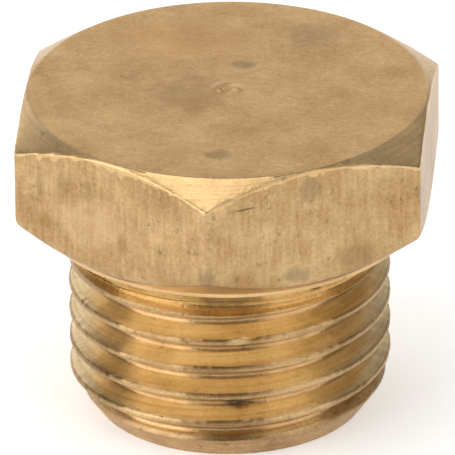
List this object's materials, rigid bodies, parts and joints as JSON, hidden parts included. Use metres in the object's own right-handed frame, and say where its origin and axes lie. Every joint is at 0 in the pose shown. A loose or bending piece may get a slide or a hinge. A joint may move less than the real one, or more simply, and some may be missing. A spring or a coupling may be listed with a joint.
{
  "type": "hexagon head screw plug",
  "caption": "One-piece brass screw plug with a chamfered hexagon head and a parallel pipe thread, for closing a threaded port.",
  "frame": {"origin": "centre of the shank's end face, which the plug stands on", "axes": "+Z along the plug's axis, from the shank's end to the head; two corners of the hexagon lie on the Y axis"},
  "size_m": [0.012, 0.0138, 0.0101],
  "materials": {
    "brass": "turned and drawn, lightly tarnished"
  },
  "bodies": {
    "root": {"plug": "brass"}
  },
  "joints": []
}
